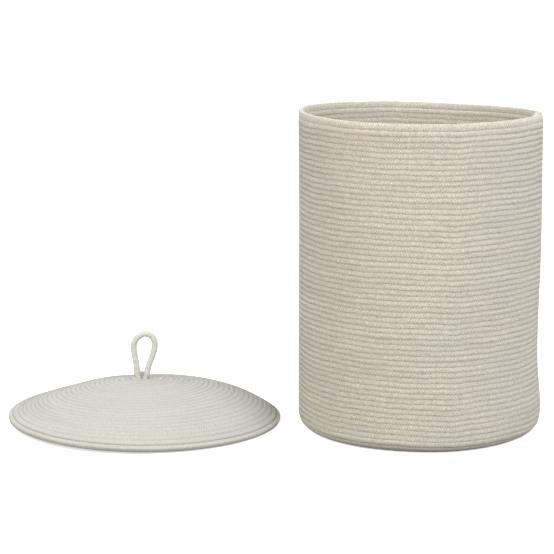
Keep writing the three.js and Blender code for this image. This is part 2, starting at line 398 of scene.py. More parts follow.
def blended(tree, factor, first, second, mode="MIX"):
    """A colour mix whose ends are colours or sockets."""
    node = tree.nodes.new("ShaderNodeMix")
    node.data_type = "RGBA"
    node.blend_type = mode
    sockets = [s for s in node.inputs if s.type == "RGBA"]
    factor_socket = node.inputs[0]
    if isinstance(factor, (int, float)):
        factor_socket.default_value = factor
    else:
        link(tree, factor, factor_socket)
    for socket, value in zip(sockets, (first, second)):
        if isinstance(value, tuple):
            socket.default_value = value
        else:
            link(tree, value, socket)
    return next(s for s in node.outputs if s.type == "RGBA")


def shaded(colour, factor):
    """A colour made darker or lighter, with alpha."""
    return tuple(min(1.0, c * factor) for c in colour) + (1.0,)


def ranged(tree, value, source, target):
    """A pattern moved from one range to another, and held inside it."""
    node = tree.nodes.new("ShaderNodeMapRange")
    for word, limit in zip(("From Min", "From Max", "To Min", "To Max"), (*source, *target)):
        node.inputs[word].default_value = limit
    link(tree, value, node.inputs["Value"])
    return node.outputs[0]


def new_finish(name):
    """A new node material, its tree and its shader."""
    material = bpy.data.materials.new(name)
    material.use_nodes = True
    tree = material.node_tree
    return material, tree, tree.nodes["Principled BSDF"]


def rope_map(tree):
    """The braid's counts along the rope and round it, and the object's own space."""
    uv = tree.nodes.new("ShaderNodeUVMap")
    uv.uv_map = ROPE_UV
    parts = tree.nodes.new("ShaderNodeSeparateXYZ")
    link(tree, uv.outputs["UV"], parts.inputs[0])
    return parts.outputs[0], parts.outputs[1], tree.nodes.new("ShaderNodeTexCoord").outputs["Object"]


def raise_surface(tree, shader, height, strength, distance):
    """Shades the surface as if it were raised by the height pattern."""
    bump = tree.nodes.new("ShaderNodeBump")
    bump.inputs["Strength"].default_value = strength
    bump.inputs["Distance"].default_value = distance
    link(tree, height, bump.inputs["Height"])
    link(tree, bump.outputs[0], shader.inputs["Normal"])


def cotton_rope(name, colour, contrast, strand_turns):
    """Braided cotton: diagonal strands of fine yarns, natural flecks, darker and paler courses, painted
    shade in the braid's hollows and a soft nap. The braid follows the rope's UV map, and the flecks the
    object's own space."""
    material, tree, shader = new_finish(name)
    along, around, place = rope_map(tree)

    wave_along = maths(tree, "COSINE", maths(tree, "MULTIPLY", along, TURN))
    wave_around = maths(tree, "COSINE", maths(tree, "MULTIPLY", around, TURN))
    plait = maths(tree, "MULTIPLY", wave_along, wave_around)

    total = maths(tree, "ADD", along, around)
    difference = maths(tree, "SUBTRACT", along, around)
    yarn_up = maths(tree, "SINE", maths(tree, "MULTIPLY", total, TURN * strand_turns))
    yarn_down = maths(tree, "SINE", maths(tree, "MULTIPLY", difference, TURN * strand_turns))
    over = maths(tree, "GREATER_THAN", wave_along, 0.0)
    yarn = maths(tree, "ADD", maths(tree, "MULTIPLY", yarn_up, over),
                 maths(tree, "MULTIPLY", yarn_down, maths(tree, "SUBTRACT", 1.0, over)))

    fleck = noise_of(tree, place, 480, 3.0, 0.62)
    mottle = noise_of(tree, place, 160, 2.0, 0.5)
    patch = noise_of(tree, place, 9, 3.0, 0.55)
    fuzz = noise_of(tree, place, 2100, 2.0, 0.6)
    flattened = tree.nodes.new("ShaderNodeMapping")
    flattened.inputs["Scale"].default_value = (7, 7, 95)
    link(tree, place, flattened.inputs["Vector"])
    courses = noise_of(tree, flattened.outputs[0], 1, 2.0, 0.6)

    # Colour: flecks and warmer patches, then mottling, painted shade in the hollows of the plait, and
    # uneven courses.
    tint = blended(tree, ranged(tree, fleck, (0.32, 0.68), (0, 1)),
                   shaded(colour, 1 - 0.3 * contrast), shaded(colour, 1 + 0.22 * contrast))
    warmth = blended(tree, patch, (1.03, 1.0, 0.94, 1), (0.96, 0.98, 1.0, 1))
    tint = blended(tree, 1.0, tint, warmth, "MULTIPLY")
    strength = maths(tree, "MULTIPLY",
                     ranged(tree, mottle, (0.3, 0.7), (1 - 0.06 * contrast, 1 + 0.05 * contrast)),
                     # Painted shade: the plait's hollows are darkened, as if shade fell between the
                     # strands.
                     ranged(tree, plait, (-1, 0.6), (1 - 0.3 * contrast, 1)))
    strength = maths(tree, "MULTIPLY", strength,
                     ranged(tree, courses, (0.3, 0.7), (1 - 0.075 * contrast, 1 + 0.055 * contrast)))
    scale = tree.nodes.new("ShaderNodeVectorMath")
    scale.operation = "SCALE"
    link(tree, tint, scale.inputs[0])
    link(tree, strength, scale.inputs["Scale"])
    link(tree, scale.outputs[0], shader.inputs["Base Color"])

    # Relief: plait, yarns, and fibres over them.
    height = maths(tree, "ADD", maths(tree, "MULTIPLY", plait, 0.5), maths(tree, "MULTIPLY", yarn, 0.22))
    height = maths(tree, "ADD", height, maths(tree, "MULTIPLY", fuzz, 0.5))
    height = maths(tree, "ADD", height, maths(tree, "MULTIPLY", fleck, 0.6))
    raise_surface(tree, shader, height, 0.8, 0.3 * MM)

    link(tree, ranged(tree, mottle, (0, 1), (0.82, 0.97)), shader.inputs["Roughness"])
    shader.inputs["Specular IOR Level"].default_value = 0.18
    shader.inputs["Sheen Weight"].default_value = 0.25
    shader.inputs["Sheen Roughness"].default_value = 0.55
    return material


def sewing_thread(name, colour):
    """Two-ply thread: a fast twist along it with painted shade between the plies, a slight lustre and a
    little dust.
    """
    material, tree, shader = new_finish(name)
    along, around, place = rope_map(tree)
    twist = maths(tree, "ADD", maths(tree, "MULTIPLY", along, 3.0), around)
    ply = maths(tree, "SINE", maths(tree, "MULTIPLY", twist, TURN))
    dust = noise_of(tree, place, 240, 2.0, 0.6)
    # Painted shade: the thread is darker where the twist runs low between the plies.
    tint = blended(tree, ranged(tree, ply, (-1, 1), (0, 1)), shaded(colour, 0.84), shaded(colour, 1.06))
    dusty = blended(tree, dust, (0.88, 0.87, 0.84, 1), (1.0, 1.0, 1.0, 1))
    link(tree, blended(tree, 1.0, tint, dusty, "MULTIPLY"), shader.inputs["Base Color"])
    height = maths(tree, "ADD", ply, maths(tree, "MULTIPLY", dust, 0.5))
    raise_surface(tree, shader, height, 0.5, 0.1 * MM)
    shader.inputs["Roughness"].default_value = 0.62
    shader.inputs["Specular IOR Level"].default_value = 0.3
    shader.inputs["Sheen Weight"].default_value = 0.15
    return material


# The slot and colour of each finish, and a rope's contrast and turns of yarn in a strand.
LOOKS = {
    "basket_cotton": ("basket_rope", "basket_colour", 1.0, 3.0),
    "lid_cotton": ("lid_rope", "lid_colour", 0.45, 3.0),
    "lid_edge_cotton": ("lid_rope", "edge_colour", 0.6, 3.0),
    "loop_cotton": ("loop_rope", "loop_colour", 0.6, 2.0),
    "basket_thread": ("sewing_thread", "thread_colour"),
    "lid_thread": ("sewing_thread", "lid_thread_colour"),
}


def finish(name):
    """The named finish, made the first time that a piece asks for it."""
    if name in bpy.data.materials:
        return bpy.data.materials[name]
    slot, colour, *weave = LOOKS[name]
    colour = getattr(bpy.context.scene.hamper_finish, colour)
    return cotton_rope(name, colour, *weave) if weave else sewing_thread(name, colour)


# ---------------------------------------------------------------- basket coil

def wander(place, seed):
    """A slow, repeatable wobble of a length along the rope, between -1 and 1."""
    return (np.sin(place * 9.1 + seed) + np.sin(place * 23.7 + 2.1 * seed)
            + 0.6 * np.sin(place * 61.3 + 3.7 * seed)) / 2.6


class BasketCoil:
    """The basket's rope: its winding by turns, and the round shape that it is laid on.

    The rope runs out from the middle of the base, round the corner and up the wall, clockwise
    seen from above. run is the distance from the middle of the base along that profile.
    """

    def __init__(self):
        self.rope = bpy.context.scene.hamper_rope
        self.basket = bpy.context.scene.hamper_basket
        self.half = ROPE / 2
        self.bend = CORNER - self.half
        self.base_run = WALL_OUTER - CORNER
        self.corner_run = self.base_run + self.bend * math.pi / 2
        top_run = self.corner_run + RIM_TOP - self.basket.rim_height - self.half - CORNER
        self.wall_turns = round(top_run / self.rope.course_pitch) + 1
        self.pitch = top_run / (self.wall_turns - 1)
        self.tuck_radius = WALL_OUTER - ROPE - self.half * 1.02
        self.tuck_end = math.asin(TUCK_LOW.y / (self.tuck_radius + self.half))

    def run_at(self, turns):
        """Distance along the profile after so many turns: a spiral that levels out below the rim."""
        whole = np.floor(turns)
        part = turns - whole
        share = self.basket.lift_share
        lifted = smooth((part - 1 + share) / share)
        from_turn = self.wall_turns - self.basket.level_turns
        level = smooth((turns - from_turn) / self.basket.level_turns)
        return self.pitch * (whole + part * (1 - level) + lifted * level)

    def laid(self, turns):
        """Centre points and outward directions of the rope after so many turns."""
        run = self.run_at(turns)
        azimuth = self.basket.rim_start - TURN * turns
        bent = np.clip((run - self.base_run) / self.bend, 0, math.pi / 2)
        radius = np.minimum(run, self.base_run) + self.bend * np.sin(bent)
        height = CORNER - self.bend * np.cos(bent) + np.maximum(run - self.corner_run, 0)
        # The rope starts pinched, so that its first turn fills the middle.
        radius = np.where(radius < self.half, (radius + self.half) / 2, radius)
        return ringed(radius, azimuth, height), ringed(np.sin(bent), azimuth, -np.cos(bent))

    def pushed_out(self, azimuth, z):
        """How far the settled wall stands out of the round one."""
        basket = self.basket
        push = np.zeros(len(z))
        for middle in (basket.front_crease, basket.back_crease):
            off = np.abs(angle_from(azimuth, middle)) / basket.crease_width
            fold = np.exp(-1.6 * off) - 0.35 * hill(off, 1.9, 1)
            push += basket.crease_rise * fold * (0.35 + 0.65 * smooth(z / 0.06))
        off = np.clip(angle_from(azimuth, basket.right_side) * 1.3, -math.pi / 2, math.pi / 2)
        push -= basket.side_hollow * np.cos(off) * hill(z, basket.hollow_height, 75 * MM)
        push += basket.foot_bulge * np.cos(off) * hill(z, basket.foot_height, 45 * MM)
        push += basket.wall_wander * (np.sin(3 * azimuth + 9 * z) + np.sin(5 * azimuth - 17 * z + 1.3))
        return push

    def raised(self, azimuth, z):
        """How far the settled courses lie above the level ones."""
        basket = self.basket
        free = smooth(z / 0.03) * smooth((RIM_TOP - z) / 0.04 + 0.25)
        high = np.clip(z / RIM_TOP, 0, 1)
        rise = basket.row_wander * free * (
            np.sin(6 * azimuth + 21 * z) + 0.7 * np.sin(13 * azimuth - 47 * z + 0.6)
            + 0.5 * np.sin(29 * azimuth + 90 * z + 2.0))
        off = np.abs(angle_from(azimuth, basket.front_crease))
        rise -= basket.crease_sag * free * np.exp(-off / basket.sag_width)
        off = angle_from(azimuth, basket.rim_start)
        rise += basket.rim_hump * high ** 9 * hill(off, math.radians(3), math.radians(17))
        rise += high ** 2 * (basket.rim_rise
                             + basket.rim_lean * np.cos(azimuth - basket.lean_way)
                             + basket.rim_saddle * np.cos(2 * (azimuth - basket.saddle_way)))
        return rise

    def settled(self, points):
        """The round basket's points moved to the shape that it has settled into."""
        x, y, z = points.T
        azimuth = np.arctan2(y, x)
        radius = np.hypot(x, y)
        push = self.pushed_out(azimuth, z) * smooth(radius / WALL_OUTER)
        grown = (radius + push) / np.maximum(radius, 1e-9)
        return np.stack([x * grown, y * grown, z + self.raised(azimuth, z)], axis=1)

    def line(self, start, end):
        """The settled rope between two turns: turns, centre points and outward directions."""
        turns = turns_between(start, end)
        centre, out = self.laid(turns)
        return turns, self.settled(centre), out

    def tucked(self, azimuth):
        """Centre points of the rope's end, which sinks from the rim along the inside of the wall."""
        share = smooth((self.basket.rim_start - azimuth) / (self.basket.rim_start - self.tuck_end) * 1.1)
        top = RIM_TOP - self.pitch / 2 * self.rope.crowding - self.basket.slip_drop
        height = top + ((TUCK_LOW.z + TUCK_HIGH.z) / 2 - top) * share
        return ringed(self.tuck_radius, azimuth, height)

    def turns_at(self, run):
        """Turns after which the rope has come so far along the profile."""
        turns = np.linspace(0, self.wall_turns, self.wall_turns * 60)
        return float(np.interp(run, self.run_at(turns), turns))


def coil_piece(coil, name, start, end):
    """One stretch of the basket's rope, between two turns."""
    rope = coil.rope
    turns, centre, out = coil.line(start, end)
    centre, out, turns = spaced(centre, out, turns, step=rope.plait_step)
    walked = np.arange(len(centre)) * rope.plait_step + start
    uneven = 1 + rope.unevenness * wander(walked, start)
    across_half = coil.pitch / 2 * rope.crowding * np.ones(len(centre))
    pinch = np.clip(np.hypot(centre[:, 0], centre[:, 1]) / coil.half, 0, 1)
    across_half *= np.where(turns < 0.6, np.maximum(pinch, 0.45), 1)
    out_half = coil.half * uneven
    mesh = rolled_tube(name, centre, out, across_half, out_half, rope.sides, rope.plait_relief,
                       rope.squareness)
    return finish_piece(name, mesh, "basket_cotton")


def zigzag_piece(name, lower, upper, lower_out, upper_out, section, side, thickness, look):
    """Zigzag stitching over the seam between two neighbouring lines of rope."""
    thread = bpy.context.scene.hamper_thread
    seam = (lower + upper) / 2
    gap = upper - lower
    out = unit(lower_out + upper_out) * side
    seam, gap, out = spaced(seam, gap, out, step=thread.stitch_length)
    count = len(seam)
    apart = np.linalg.norm(gap, axis=1)
    reach = np.minimum(thread.reach, apart * 0.4)
    across_half, out_half, squareness = section
    off_crown = np.clip((apart / 2 - reach) / across_half, 0, 1)
    lift = out_half * (1 - off_crown ** squareness) ** (1 / squareness) + thickness * 0.15
    way = np.where(np.arange(count) % 2 == 0, 1.0, -1.0)
    centre = seam + unit(gap) * (reach * way)[:, None] + unit(out) * lift[:, None]
    along = unit(np.gradient(seam, axis=0))
    slant = math.hypot(thread.stitch_length, 2 * thread.reach) / thread.stitch_length
    wide = np.full(count, thickness / 2 * slant * 0.85)
    tall = np.full(count, thickness / 2)
    mesh = strung_tube(name, centre, along, out, wide, tall)
    return finish_piece(name, mesh, look)


def strung_tube(name, centre, along, out, wide, tall):
    """A four-sided thread whose rings all stand square to the seam that it crosses."""
    sides = 4
    across = unit(np.cross(along, out))
    angle = (np.arange(sides + 1) % sides)[:, None] * (TURN / sides)
    wide = wide[None] * np.cos(angle)
    tall = tall[None] * np.sin(angle)
    spots = centre[None] + across[None] * wide[..., None] + unit(out)[None] * tall[..., None]
    return rolled_up(name, spots)


class HAMPER_OT_base(bpy.types.Operator):
    """Coil the flat base of the basket"""

    bl_idname = "hamper.base"
    bl_label = "Base Coil"

    def execute(self, context):
        coil = BasketCoil()
        end = coil.turns_at(coil.base_run)
        piece = coil_piece(coil, "base_rope", 0, end)
        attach(piece, "basket")
        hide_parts("base_coil")
        return {"FINISHED"}


class HAMPER_OT_corner(bpy.types.Operator):
    """Coil the courses that turn up from the base into the wall"""

    bl_idname = "hamper.corner"
    bl_label = "Corner Courses"

    def execute(self, context):
        coil = BasketCoil()
        start, end = coil.turns_at(coil.base_run), coil.turns_at(coil.corner_run)
        piece = coil_piece(coil, "corner_rope", start, end)
        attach(piece, "basket")
        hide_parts("corner_courses")
        return {"FINISHED"}


class HAMPER_OT_wall(bpy.types.Operator):
    """Coil the wall, in stretches of rope that follow on from each other"""

    bl_idname = "hamper.wall"
    bl_label = "Wall Courses"

    stretches = 5

    def execute(self, context):
        coil = BasketCoil()
        cuts = np.linspace(coil.turns_at(coil.corner_run), coil.wall_turns, self.stretches + 1)
        for i, (start, end) in enumerate(zip(cuts, cuts[1:])):
            name = f"wall_rope_{i + 1}"
            piece = coil_piece(coil, name, start, end)
            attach(piece, "basket")
            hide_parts("wall_coil")
        return {"FINISHED"}


def rim_line(coil):
    """The rim course: its centre line, outward directions and half sizes. It starts where the
    wall's rope ends, goes level round the rim, and slips inside as that rope comes up under it."""
    basket, rope = coil.basket, coil.rope
    turns = np.linspace(0, 1, RIM_STEPS)
    azimuth = basket.rim_start - TURN * turns
    start = smooth(turns / basket.lift_share)
    wall_half = coil.pitch / 2 * rope.crowding
    wall_top = RIM_TOP - basket.rim_height - coil.pitch / 2
    rim_middle = RIM_TOP - basket.rim_height / 2 - basket.rim_press
    height = wall_top + coil.pitch + (rim_middle - wall_top - coil.pitch) * start
    rim_half = basket.rim_height / 2 + basket.rim_press
    across_half = wall_half + (rim_half - wall_half) * start
    lifted = smooth((turns - 1 + basket.lift_share) / basket.lift_share)
    aside = np.sqrt(1 - (1 - lifted) ** 2)
    radius = WALL_OUTER - coil.half - (WALL_OUTER - coil.half - coil.tuck_radius) * aside
    out_half = np.full(len(turns), coil.half)
    across_half = across_half + (wall_half - across_half) * lifted
    height = height + (RIM_TOP - wall_half - basket.slip_drop - height) * lifted
    centre = ringed(radius, azimuth, height)
    return coil.settled(centre), ringed(1, azimuth, 0 * azimuth), across_half, out_half


class HAMPER_OT_rim(bpy.types.Operator):
    """Lay the rim course and tuck the rope's end inside the wall"""

    bl_idname = "hamper.rim"
    bl_label = "Rim Course"

    def execute(self, context):
        coil = BasketCoil()
        centre, out, across_half, out_half = rim_line(coil)
        step = coil.rope.plait_step
        centre, out, across_half, out_half = spaced(centre, out, across_half, out_half, step=step)
        relief = coil.rope.plait_relief * 0.55
        mesh = rolled_tube("rim_rope", centre, out, across_half, out_half, coil.rope.sides, relief,
                           coil.rope.squareness)
        piece = finish_piece("rim_rope", mesh, "basket_cotton")
        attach(piece, "basket")
        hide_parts("rim_course")

        azimuth = np.linspace(coil.basket.rim_start, coil.tuck_end, 200)
        centre = coil.settled(coil.tucked(azimuth))
        centre, out = spaced(centre, ringed(1, azimuth, 0 * azimuth), step=step)
        walked = np.linspace(0, 1, len(centre))
        narrow = 1 - 0.55 * smooth((walked - 0.85) / 0.15)
        half = coil.half * narrow
        mesh = rolled_tube("tucked_rope", centre, out, half, half, coil.rope.sides,
                           coil.rope.plait_relief)
        piece = finish_piece("tucked_rope", mesh, "basket_cotton")
        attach(piece, "basket")
        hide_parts("rope_end")
        return {"FINISHED"}


class HAMPER_OT_basket_stitching(bpy.types.Operator):
    """Sew the basket's courses to each other, outside and inside"""

    bl_idname = "hamper.basket_stitching"
    bl_label = "Basket Stitching"

    def execute(self, context):
        coil = BasketCoil()
        base_end = coil.turns_at(coil.base_run)
        half_way = (base_end + coil.wall_turns - 1) / 2
        stretches = (("base", 1.0, base_end), ("wall_lower", base_end, half_way),
                     ("wall_upper", half_way, coil.wall_turns - 1))
        section = (coil.pitch / 2 * coil.rope.crowding, coil.half, coil.rope.squareness)
        for word, start, end in stretches:
            turns, lower, lower_out = coil.line(start, end)
            centre, upper_out = coil.laid(turns + 1)
            upper = coil.settled(centre)
            for place, side in (("outer", 1), ("inner", -1)):
                name = f"{word}_{place}_stitches"
                piece = zigzag_piece(name, lower, upper, lower_out, upper_out, section, side,
                                     context.scene.hamper_thread.thickness, "basket_thread")
                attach(piece, "basket")
        return {"FINISHED"}


# ---------------------------------------------------------------- lid

# Where the first course lies, how far it is drawn out round the loop's legs, and where that fades.
EYE_RUN = 8.8 * MM
EYE_OVAL = 4.6 * MM
EYE_FADE_START = 10 * MM
EYE_FADE = 110 * MM
# How far the dome turns down to the edge course, and the step that finds the dome's slope.
EDGE_BEND = 6 * MM
PROBE = 1 * MM


class LidCoil:
    """The lid's rope, wound out from the loop's feet over a dome to a level edge course."""

    def __init__(self):
        self.rope = bpy.context.scene.hamper_rope
        self.lid = bpy.context.scene.hamper_lid
        self.half = ROPE / 2
        self.edge_radius = LID_RADIUS - self.half
        dome_outer = LID_RADIUS - 2 * self.half
        radius = np.linspace(0, dome_outer, 400)
        rise = self.crown - self.lid.edge_top
        top = self.lid.edge_top + rise * (1 - (radius / dome_outer) ** self.lid.dome_power)
        slope = np.arctan(-np.gradient(top, radius))
        middle_radius = radius - self.half * np.sin(slope)
        middle_height = top - self.half * np.cos(slope)
        keep = middle_radius < dome_outer - EDGE_BEND
        self.radii = np.append(middle_radius[keep], self.edge_radius)
        self.heights = np.append(middle_height[keep], self.lid.edge_height)
        steps = np.hypot(np.diff(self.radii), np.diff(self.heights))
        self.runs = np.concatenate([[0], np.cumsum(steps)])
        length = self.runs[-1] - EYE_RUN
        self.turns = round(length / self.rope.course_pitch)
        self.pitch = length / self.turns

    @property
    def crown(self):
        """Height of the dome's top face at the loop."""
        return LID_TOP - self.lid.crown_sink

    def laid(self, turns):
        """Centre points and outward directions of the lid's rope after so many turns. Its first and
        last turns are level, and those between them follow a spiral."""
        whole = np.floor(turns)
        part = turns - whole
        share = self.lid.lift_share
        lifted = smooth((part - 1 + share) / share)
        level = np.maximum(smooth((turns - self.turns + 8) / 7), 1 - smooth((turns - 1) / 3))
        run = EYE_RUN + self.pitch * (whole + part * (1 - level) + lifted * level)
        azimuth = self.lid.edge_end - TURN * turns
        return self.placed(run, azimuth)

    def dome(self, run, azimuth):
        """Places of the rope's centre line on the settled dome, run along its profile."""
        run = np.clip(run, 0, self.runs[-1])
        radius = np.interp(run, self.runs, self.radii)
        height = np.interp(run, self.runs, self.heights)
        share = radius / self.edge_radius
        shift = self.lid.apex_shift
        off = azimuth - self.lid.shift_way
        full = LID_RADIUS - self.lid.outline_inset
        outline = shift * np.cos(off) + np.sqrt(full ** 2 - (shift * np.sin(off)) ** 2)
        outline += self.lid.ovalness * np.cos(2 * (azimuth - self.lid.oval_way))
        stretch = outline / LID_RADIUS
        # The first courses are drawn out to pass round both legs of the loop.
        oval = EYE_OVAL * (1 - smooth((radius - EYE_FADE_START) / EYE_FADE))
        x = (radius * stretch + oval) * np.cos(azimuth)
        y = radius * stretch * np.sin(azimuth)
        power = self.lid.dome_power + self.lid.power_swing * np.cos(azimuth - self.lid.swing_way)
        rise = self.crown - self.lid.edge_top
        height = height + rise * (share ** self.lid.dome_power - share ** power)
        height = height + self.lid.fullness * np.cos(azimuth) * 6.75 * share ** 2 * (1 - share)
        height = height + self.lid.tilt_rise * (1 - np.cos(azimuth)) / 2 * share ** 2
        wave = np.sin(3 * azimuth + 14 * share) * share * (1 - share) * 2
        height = height + self.lid.dome_wander * wave
        return x, y, height

    def placed(self, run, azimuth):
        """Centre points and outward directions of the rope, run along the dome from the loop."""
        x, y, height = self.dome(run, azimuth)
        inner = self.dome(run - PROBE, azimuth)
        outer = self.dome(run + PROBE, azimuth)
        tilt = np.arctan2(inner[2] - outer[2], np.hypot(outer[0] - inner[0], outer[1] - inner[1]))
        swell = hill(run, EYE_RUN, 4 * MM) * np.maximum(-np.cos(azimuth), 0) ** 2
        height = height + self.lid.eye_swell * swell
        # The last course hangs a little away from the dome, most at the left front.
        last = smooth((run - self.runs[-1] + self.pitch * 0.75) / (self.pitch * 0.6))
        left = 0.1 + 0.9 * smooth((np.cos(azimuth - self.lid.gap_way) + 0.2) / 1.2)
        drop = self.lid.edge_gap * last * left
        height = height - drop * 0.55 * (height > self.half + drop)
        x = x + drop * 0.8 * np.cos(azimuth)
        y = y + drop * 0.8 * np.sin(azimuth)
        centre = np.stack([LID_X + x, LID_Y + y, height], axis=1)
        tilt = tilt * (1 - 0.3 * last)
        return centre, ringed(np.sin(tilt), azimuth, np.cos(tilt))

    def line(self, start, end):
        """The rope between two turns: turns, centre points and outward directions."""
        turns = turns_between(start, end)
        centre, out = self.laid(turns)
        return turns, centre, out


class HAMPER_OT_lid(bpy.types.Operator):
    """Coil the lid, from the loop's feet out to the edge course"""

    bl_idname = "hamper.lid"
    bl_label = "Lid Coil"

    def execute(self, context):
        coil = LidCoil()
        rope = coil.rope
        last = coil.turns
        stretches = (("lid_centre_rope", "lid_centre_coil", 0, 3),
                     ("lid_dome_rope_inner", "lid_dome_coil", 3, 17),
                     ("lid_dome_rope_outer", "lid_dome_coil", 17, last),
                     ("lid_edge_rope", "lid_edge_course", last, last + 0.94))
        for name, node, start, end in stretches:
            turns, centre, out = coil.line(start, end)
            centre, out, turns = spaced(centre, out, turns, step=rope.plait_step)
            walked = np.arange(len(centre)) * rope.plait_step + start
            out_half = coil.half * (1 + rope.unevenness / 2 * wander(walked, start))
            edge = name == "lid_edge_rope"
            if edge:
                out_half *= coil.lid.edge_share
            crowding = coil.lid.edge_crowding if edge else coil.lid.crowding
            squareness = coil.lid.edge_squareness if edge else coil.lid.squareness
            across_half = np.full(len(centre), coil.pitch / 2 * crowding)
            ending = 1 - 0.6 * smooth((turns - (last + 0.9)) / 0.04)
            start_in = 0.55 + 0.45 * smooth(turns / 0.1)
            mesh = rolled_tube(name, centre, out, across_half * ending * start_in,
                               out_half * ending * start_in, coil.lid.sides,
                               rope.plait_relief * coil.lid.relief_share, squareness)
            piece = finish_piece(name, mesh, "lid_edge_cotton" if edge else "lid_cotton")
            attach(piece, "lid")
            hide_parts(node)
        return {"FINISHED"}


class HAMPER_OT_lid_stitching(bpy.types.Operator):
    """Sew the lid's courses to each other, above and below"""

    bl_idname = "hamper.lid_stitching"
    bl_label = "Lid Stitching"

    def execute(self, context):
        coil = LidCoil()
        section = (coil.pitch / 2 * coil.lid.crowding, coil.half, coil.lid.squareness)
        turns, lower, lower_out = coil.line(0, coil.turns - 0.08)
        upper, upper_out = coil.laid(turns + 1)
        for place, side in (("upper", 1), ("under", -1)):
            piece = zigzag_piece(f"lid_{place}_stitches", lower, upper, lower_out, upper_out,
                                 section, side, context.scene.hamper_thread.lid_thickness,
                                 "lid_thread")
            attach(piece, "lid")
        return {"FINISHED"}


# ---------------------------------------------------------------- loop handle

# Shares of the loop's half width and of its rise above the lid, from the left leg over the crown
# to the right leg.
LOOP_SHAPE = (
    (-0.46, 0.1), (-0.53, 0.31), (-0.69, 0.52), (-0.76, 0.68), (-0.71, 0.785), (-0.44, 0.895),
    (0.1, 0.985), (0.66, 0.985), (1.1, 0.91), (1.29, 0.75), (1.15, 0.575), (0.91, 0.42),
    (0.65, 0.26), (0.49, 0.11),
)

# The lashing: its first turn above the crown, the half distance of the legs and how far that
# wanders, and how far its middle lies left of the loop's.
LASH_START = 0.8 * MM
LASH_SPREAD = 8.2 * MM
LASH_WANDER = 0.25 * MM
LASH_OFFSET = 0.8 * MM
# Each tack: its turns of thread, and its width along the rope.
TACK_TURNS = 3
TACK_WIDTH = 5 * MM


def loop_points(crown_lift):
    """The loop's rope from tail to tail."""
    half_width = (LOOP_HIGH.x - LOOP_LOW.x - LOOP_ROPE) / 2
    rise = LOOP_HIGH.z - LOOP_ROPE / 2 - LID_TOP + crown_lift
    near = LOOP_ROPE * 0.53
    tail_height = FOOT_LOW.z + LOOP_ROPE * 0.48
    tail_reach = FOOT_HIGH.x - HINGE[0]
    below = LID_TOP - ROPE
    foot = ((tail_reach, tail_height), (tail_reach * 0.6, tail_height + 0.2 * MM),
            (near * 2.2, below - 6 * MM), (near * 1.15, below), (near, LID_TOP - 2 * MM))
    left = [(-x, z) for x, z in foot]
    crown = [(x * half_width, LID_TOP + z * rise) for x, z in LOOP_SHAPE]
    right = [(x, z) for x, z in reversed(foot)]
    return [(HINGE[0] + x, HINGE[1], z) for x, z in left + crown + right]


class HAMPER_OT_loop(bpy.types.Operator):
    """Make the loop handle as one rope, from tail to tail"""

    bl_idname = "hamper.loop"
    bl_label = "Loop Handle"

    def execute(self, context):
        settings = context.scene.hamper_loop
        centre = curve_through(loop_points(settings.crown_lift), settings.plait_step)
        count = len(centre)
        out = np.tile([0.0, -1.0, 0.0], (count, 1))
        walked = np.linspace(0, 1, count)
        above = smooth((centre[:, 2] - LID_TOP) / (10 * MM))
        half = LOOP_ROPE / 2 * (1 + 0.03 * wander(walked * 0.9, 0.4) + (settings.fullness - 1) * above)
        ends = 1 - 0.35 * (1 - smooth(np.minimum(walked, 1 - walked) / 0.02))
        mesh = rolled_tube("loop_rope", centre, out, half * ends, half * ends, settings.sides,
                           settings.plait_relief)
        piece = finish_piece("loop_rope", mesh, "loop_cotton")
        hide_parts("loop_handle", "loop_foot_left", "loop_foot_right")
        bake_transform(piece)
        return {"FINISHED"}


def wound_thread(name, centre, thickness, look):
    """A round thread along a line of points."""
    along = unit(np.gradient(centre, axis=0))
    out = np.tile([0.13, 0.08, 0.99], (len(centre), 1))
    out = unit(out - along * np.sum(out * along, axis=1, keepdims=True))
    half = np.full(len(centre), thickness / 2)
    mesh = rolled_tube(name, centre, out, half, half, 6)
    return finish_piece(name, mesh, look)


